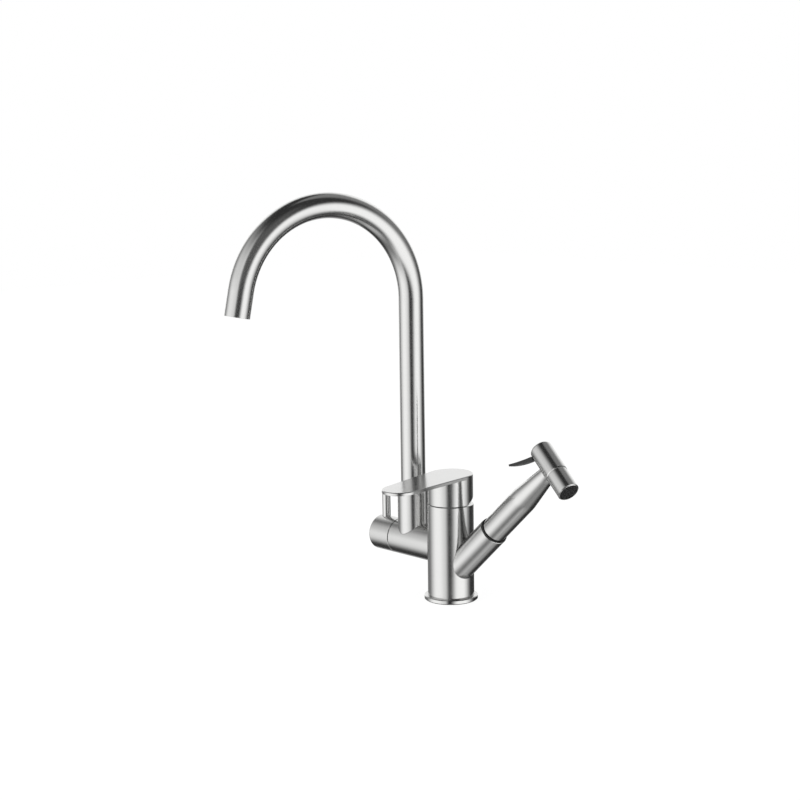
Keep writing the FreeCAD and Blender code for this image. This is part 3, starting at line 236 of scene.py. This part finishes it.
def grain(tree, place, size, detail=2.0):
    """Speckle whose grains are about this many metres across."""
    return node(tree, "ShaderNodeTexNoise", {
        "Vector": place, "Scale": 1 / size, "Detail": detail}).outputs["Fac"]


GRAIN_LOW, GRAIN_HIGH = 0.3, 0.7


def spread(tree, value, low, high):
    """The usual range of a grain stretched over low to high."""
    return node(tree, "ShaderNodeMapRange", {
        "Value": value, "From Min": GRAIN_LOW, "From Max": GRAIN_HIGH,
        "To Min": low, "To Max": high}).outputs[0]


def mixed_tone(tree, share, dark, pale):
    """A colour between two hex colours."""
    return node(tree, "ShaderNodeMix", {0: share, 6: linear(dark), 7: linear(pale)},
                data_type="RGBA").outputs[2]


def dented(tree, height, depth, normal=None):
    """A bump of this depth in metres."""
    inputs = {"Height": height, "Distance": depth}
    if normal:
        inputs["Normal"] = normal
    return node(tree, "ShaderNodeBump", inputs).outputs[0]


BLOTCH_GRAINS = 12  # a duller or glossier blotch is this many grains wide
BLOTCH_SWING = 0.06


def moulded(name, dark, pale, roughness, grain_size, depth):
    """A moulded plastic or rubber with the fine grain that the mould gives it."""
    material, tree, shader, place = start_material(name)
    speckle = grain(tree, place, grain_size)
    blotch = grain(tree, place, grain_size * BLOTCH_GRAINS)
    connect(tree, shader, base_color=mixed_tone(tree, speckle, dark, pale),
            roughness=spread(tree, blotch, roughness - BLOTCH_SWING, roughness + BLOTCH_SWING),
            normal=dented(tree, speckle, depth))
    return material


def dress(material, *names):
    """Give CAD pieces their material."""
    for name in names:
        frame["nodes"][name].material_slots[0].material = material


# EPDM rubber, compression moulded: nearly black, with a dull sheen and no gloss.
epdm_rubber = moulded("moulded_epdm_rubber", "#151514", "#232322", 0.62, 0.35 * MM, 0.01 * MM)
dress(epdm_rubber, "base_gasket")


def along_axis(tree, place, axis):
    """How far a point lies along the axis."""
    return node(tree, "ShaderNodeVectorMath", {0: place, 1: axis}, operation="DOT_PRODUCT"
                ).outputs["Value"]


def tool_marks(tree, place, along, length, spacing):
    """Streaks of this length that lie across the run, this far apart along it."""
    squeeze = node(tree, "ShaderNodeMath", {0: along, 1: length / spacing}, operation="MULTIPLY")
    drawn_out = node(tree, "ShaderNodeVectorMath", {0: place, 1: squeeze.outputs[0]},
                     operation="ADD")
    return grain(tree, drawn_out.outputs[0], length, detail=3.0)


MARK_LENGTH = 18 * MM
CLOUD_SIZE = 22 * MM
EDGE_SAMPLES = 4


def machined(name, dark, pale, roughness, swing, along_of, spacing, depth, edge):
    """A metal with the marks of its tool, belt or polishing wheel, and lightly broken edges."""
    material, tree, shader, place = start_material(name)
    marks = tool_marks(tree, place, along_of(tree, place), MARK_LENGTH, spacing)
    cloud = grain(tree, place, CLOUD_SIZE)
    rough = node(tree, "ShaderNodeMath", {
        0: spread(tree, marks, roughness - swing, roughness + swing),
        1: spread(tree, cloud, -swing / 2, swing / 2)}, operation="ADD").outputs[0]
    broken = node(tree, "ShaderNodeBevel", {"Radius": edge}, samples=EDGE_SAMPLES).outputs[0]
    connect(tree, shader, metallic=1.0, roughness=rough,
            base_color=mixed_tone(tree, marks, dark, pale),
            normal=dented(tree, marks, depth, broken))
    return material


def upright(tree, place):
    """Marks that lie level around an upright piece."""
    return along_axis(tree, place, (0, 0, 1))


def sideways(tree, place):
    """Marks spaced along the branch: rings around it, and upright streaks on a pipe that stands."""
    return along_axis(tree, place, (1, 0, 0))


# Stainless steel, turned and then buffed with a soft wheel: bright, with faint rings.
polished_steel = machined("buffed_stainless_steel", "#c4c4c3", "#cececd", 0.12, 0.02, upright,
                          0.5 * MM, 0.001 * MM, 0.3 * MM)
# Free-cutting brass, bare from the lathe: yellow, with the rings of the tool.
turned_brass = machined("turned_brass", "#a98746", "#c3a25c", 0.24, 0.05, upright,
                        0.4 * MM, 0.006 * MM, 0.2 * MM)
# Copper pipe, drawn: reddish, a little dulled by air, with streaks along its length.
drawn_copper = machined("drawn_copper", "#9a5f42", "#c07a56", 0.30, 0.06, sideways,
                        0.5 * MM, 0.003 * MM, 0.1 * MM)
dress(polished_steel, "base_flange")
dress(turned_brass, "base_insert")
dress(drawn_copper, "inlet_pipe_hot", "inlet_pipe_cold", "spray_feed_pipe")


def spun(shape, outline, foot, axis, steps, turns=1, climb=0.0):
    """Spin a closed outline of (reach, height) points about the axis; a climb makes a helix."""
    side = axis.orthogonal().normalized()
    corners = [shape.verts.new(foot + side * reach + axis * height) for reach, height in outline]
    edges = [shape.edges.new((corners[n - 1], corners[n])) for n in range(len(corners))]
    bmesh.ops.spin(shape, geom=corners + edges, cent=foot, axis=axis, dvec=axis * climb / steps,
                   angle=math.tau * turns, steps=steps, use_merge=climb == 0)
    if climb:
        ends = [edge for edge in shape.edges if edge.is_boundary]
        bmesh.ops.holes_fill(shape, edges=ends, sides=len(outline))


# A metric thread's proportions, as shares of its pitch.
HALF_ROOT = 7 / 16
HALF_CREST = 1 / 16
NUT_DEPTH = 0.54
SCREW_DEPTH = 0.61
STEPS_A_TURN = 36


def screw_thread(shape, foot, axis, root, crest, pitch, length):
    """The ridge of a metric thread, from its root to its crest, closed at both ends."""
    broad = pitch * HALF_ROOT
    narrow = pitch * HALF_CREST
    turns = length / pitch - 1
    spun(shape, [(root, -broad), (crest, -narrow), (crest, narrow), (root, broad)],
         foot + axis * pitch / 2, axis, round(turns * STEPS_A_TURN), turns, length - pitch)


def add_piece(name, shape, body, material):
    """Turn a finished bmesh into a piece that rides on a body."""
    bmesh.ops.recalc_face_normals(shape, faces=shape.faces)
    piece = bpy.data.objects.new(name, bpy.data.meshes.new(name))
    shape.to_mesh(piece.data)
    shape.free()
    scene.collection.objects.link(piece)
    piece.data.materials.append(material)
    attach(piece, body)
    return piece


# M8 threads, tapped from below. All four holes are drawn with the fine pitch of the hoses.
TAPPED_RADIUS = 4.0 * MM
TAPPED_PITCH = 1.0 * MM
THREAD_SEAT = 0.03 * MM  # how far a ridge reaches into the wall that carries it
shape = bmesh.new()
for mount in frame["record"]["mounts"]:
    if mount["kind"] == "threaded_hole":
        screw_thread(shape, Vector(mount["pos_m"]), -Vector(mount["axis"]),
                     TAPPED_RADIUS + THREAD_SEAT, TAPPED_RADIUS - NUT_DEPTH * TAPPED_PITCH,
                     TAPPED_PITCH, mount["dims"]["length_mm"] * MM)
add_piece("tapped_threads", shape, "root", turned_brass)


# ---------------------------------------------------------------- column
# The mixer column is turned from one piece of stainless steel, with the waterways drilled below
# the cartridge's seat. Like most of the outside, it is finished on a fine abrasive belt, which
# leaves a satin of fine lines and no plating.

SATIN_LINES = 0.55 * MM  # really about 0.1 mm apart, drawn wider so that they show


def satin_steel(name, along_of):
    """Belt-ground stainless steel: a soft grey gloss that smears what it shows."""
    return machined(name, "#c3c3c2", "#cdcdcc", 0.19, 0.025, along_of, SATIN_LINES, 0.001 * MM,
                    0.35 * MM)


dress(satin_steel("satin_stainless_upright", upright), "mixer_column", "spout_socket")


# ---------------------------------------------------------------- branch and stop valve
# A side branch carries the spout and ends in a valve for an appliance hose: a brass headpart, two
# lapped ceramic discs, a spindle, and a cup-shaped knob with a pin, held by a grub screw.

dress(satin_steel("satin_stainless_branch", sideways), "side_branch", "valve_knob")
# Alumina ceramic, pressed, fired and lapped: off-white and smooth.
lapped_ceramic = moulded("lapped_alumina_ceramic", "#e3e0d8", "#efede6", 0.22, 0.6 * MM,
                         0.0005 * MM)
dress(lapped_ceramic, "stop_disc_fixed", "stop_disc_moving")
dress(turned_brass, "headpart_body", "valve_spindle")
dress(polished_steel, "knob_pin", "knob_screw")


# ---------------------------------------------------------------- spout
# The gooseneck is one bent stainless tube, brazed to a brass foot. The foot turns in the socket on
# two rubber rings and an acetal washer and bearing, and a side screw keeps it from lifting out.

BEND_RADIUS = 90 * MM
BEND_HEIGHT = 284 * MM
RISER_PLACE = Vector((-50.6, 0, 0)) * MM
SPOUT_YAW = math.radians(258.65)


def along_spout(tree, place):
    """How far a point lies along the bent tube: its height, then its angle about the bend."""
    local = node(tree, "ShaderNodeMapping", {
        "Vector": node(tree, "ShaderNodeVectorMath", {0: place, 1: RISER_PLACE},
                       operation="SUBTRACT").outputs[0],
        "Rotation": (0, 0, -SPOUT_YAW)}, vector_type="POINT")
    from_bend = node(tree, "ShaderNodeVectorMath", {
        0: local.outputs[0], 1: (BEND_RADIUS, 0, BEND_HEIGHT)}, operation="SUBTRACT")
    parts = node(tree, "ShaderNodeSeparateXYZ", {0: from_bend.outputs[0]})
    inward = node(tree, "ShaderNodeMath", {0: parts.outputs["X"], 1: -1.0}, operation="MULTIPLY")
    angle = node(tree, "ShaderNodeMath", {0: parts.outputs["Z"], 1: inward.outputs[0]},
                 operation="ARCTAN2")
    arc = node(tree, "ShaderNodeMath", {0: angle.outputs[0], 1: BEND_RADIUS}, operation="MULTIPLY")
    bent = node(tree, "ShaderNodeMath", {0: parts.outputs["Z"], 1: 0.0}, operation="GREATER_THAN")
    return node(tree, "ShaderNodeMix", {
        0: bent.outputs[0], 2: parts.outputs["Z"], 3: arc.outputs[0]}, data_type="FLOAT").outputs[0]


dress(satin_steel("satin_stainless_spout", along_spout), "spout_tube")
dress(turned_brass, "spout_foot")
dress(polished_steel, "spout_lock_screw", "aerator_shell")
dress(epdm_rubber, "spout_seals", "aerator_seal")
# Acetal, moulded: milk white and slippery.
white_acetal = moulded("moulded_acetal", "#dddbd3", "#e8e6df", 0.38, 0.5 * MM, 0.002 * MM)
dress(white_acetal, "spout_washer", "spout_bearing")
# ABS, injection moulded and dyed through: black with a low sheen.
black_abs = moulded("moulded_black_abs", "#171717", "#222222", 0.38, 0.25 * MM, 0.004 * MM)
dress(black_abs, "aerator_screen")


# ---------------------------------------------------------------- spray socket
# A slanted steel tube, welded to the column, parks the hand spray. A rubber liner with a thin rim
# holds it without a rattle.

joint_axis = {joint["name"]: Vector(joint["axis"]) for joint in frame["joints"]}


def along_socket(tree, place):
    """Marks around the slanted socket and the handle in it."""
    return along_axis(tree, place, joint_axis["handset_lift_out"])


satin_socket = satin_steel("satin_stainless_socket", along_socket)
dress(satin_socket, "spray_socket")
dress(epdm_rubber, "socket_liner")


# ---------------------------------------------------------------- hand spray
# The handle is turned from stainless bar and brazed into the head. A spring closes the valve in
# the head, and a black trigger on a steel pin opens it. The hose screws on a swivelling brass tail.

def along_head(tree, place):
    """Marks around the head and its nozzle."""
    return along_axis(tree, place, joint_axis["plunger_slide"])


dress(satin_socket, "handset_handle")
dress(satin_steel("satin_stainless_head", along_head), "handset_head", "nozzle_sleeve")
dress(turned_brass, "spray_plunger")
dress(polished_steel, "tail_clip", "spray_spring", "trigger_pin")
dress(epdm_rubber, "spray_seat", "plunger_seal")
dress(black_abs, "spray_face", "spray_trigger")

# The tail: a collar that turns in the handle's foot, and an M15x1 thread for the hose.
HANDLE_START = next(Vector(joint["pos_m"]) for joint in frame["joints"]
                    if joint["name"] == "handset_twist")
HANDLE_WAY = joint_axis["handset_lift_out"]
TAIL_DROP_MM = 48
TAIL_FOOT = HANDLE_START - HANDLE_WAY * TAIL_DROP_MM * MM
TAIL_THREAD = 14 * MM
TAIL_PITCH = 1 * MM
TAIL_CREST = 7.5 * MM
TAIL_ROOT = TAIL_CREST - SCREW_DEPTH * TAIL_PITCH
COLLAR_RADIUS = 8.0 * MM
COLLAR_START = 15.3 * MM
COLLAR_END = 23.7 * MM
TAIL_BORE = 4.0 * MM
TAIL_STEPS = 96
shape = bmesh.new()
spun(shape, [(TAIL_BORE, 0), (TAIL_ROOT, 0), (TAIL_ROOT, COLLAR_START),
             (COLLAR_RADIUS, COLLAR_START), (COLLAR_RADIUS, COLLAR_END), (TAIL_BORE, COLLAR_END)],
     TAIL_FOOT, HANDLE_WAY, TAIL_STEPS)
screw_thread(shape, TAIL_FOOT, HANDLE_WAY, TAIL_ROOT - THREAD_SEAT, TAIL_CREST, TAIL_PITCH,
             TAIL_THREAD)
tail = add_piece("threaded_tail", shape, "hose_end", turned_brass)
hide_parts("swivel_tail")

# Silicone rubber nozzles round the holes of the spray face: limescale rubs off them.
grey_silicone = moulded("moulded_grey_silicone", "#303031", "#414142", 0.5, 0.3 * MM, 0.003 * MM)
HEAD_WAY = joint_axis["plunger_slide"]
HEAD_SIDE = joint_axis["trigger_press"].cross(HEAD_WAY)
HEAD_PLACE_MM = 100.6
FACE_PLACE_MM = 29.6
FACE_MIDDLE = HANDLE_START + HANDLE_WAY * HEAD_PLACE_MM * MM + HEAD_WAY * FACE_PLACE_MM * MM
HOLE_RADIUS = 0.6 * MM
HOLE_PITCH = 3.2 * MM
HOLE_RINGS = 3  # the one in the middle counts as the first ring
HOLES_MORE_A_RING = 6
NUB_RADIUS = 1.15 * MM
NUB_TIP = 0.85 * MM
NUB_HEIGHT = 0.5 * MM
NUB_SEAT = 0.1 * MM
NUB_STEPS = 20
shape = bmesh.new()
for ring in range(HOLE_RINGS):
    count = max(1, HOLES_MORE_A_RING * ring)
    for n in range(count):
        turned = Quaternion(HEAD_WAY, math.tau * n / count)
        spun(shape, [(HOLE_RADIUS, -NUB_SEAT), (NUB_RADIUS, -NUB_SEAT),
                     (NUB_TIP, NUB_HEIGHT), (HOLE_RADIUS, NUB_HEIGHT)],
             FACE_MIDDLE + turned @ HEAD_SIDE * HOLE_PITCH * ring, HEAD_WAY, NUB_STEPS)
add_piece("spray_nubs", shape, "handset", grey_silicone)


# ---------------------------------------------------------------- cartridge
# A standard ceramic cartridge mixes the water: an acetal housing and turning cap, two ceramic
# discs and a brass stem on a pin. A brass nut clamps it, and a buffed steel cover hides the nut.

dress(white_acetal, "cartridge_housing", "disc_carrier", "cartridge_rotor")
dress(lapped_ceramic, "ceramic_disc_fixed", "ceramic_disc_moving")
dress(polished_steel, "tilt_pin", "cartridge_dome")
dress(turned_brass, "lever_stem", "cartridge_nut")


# ---------------------------------------------------------------- lever
# The lever is one stainless casting, ground flat on top and brushed along its length. A grub
# screw behind, under a small plug, clamps it on the stem.

def across_lever(tree, place):
    """Marks that run along the lever, spaced across it."""
    return along_axis(tree, place, joint_axis["lever_lift"])


dress(satin_steel("satin_stainless_lever", across_lever), "lever_cap")
dress(polished_steel, "lever_grub_screw", "lever_plug")
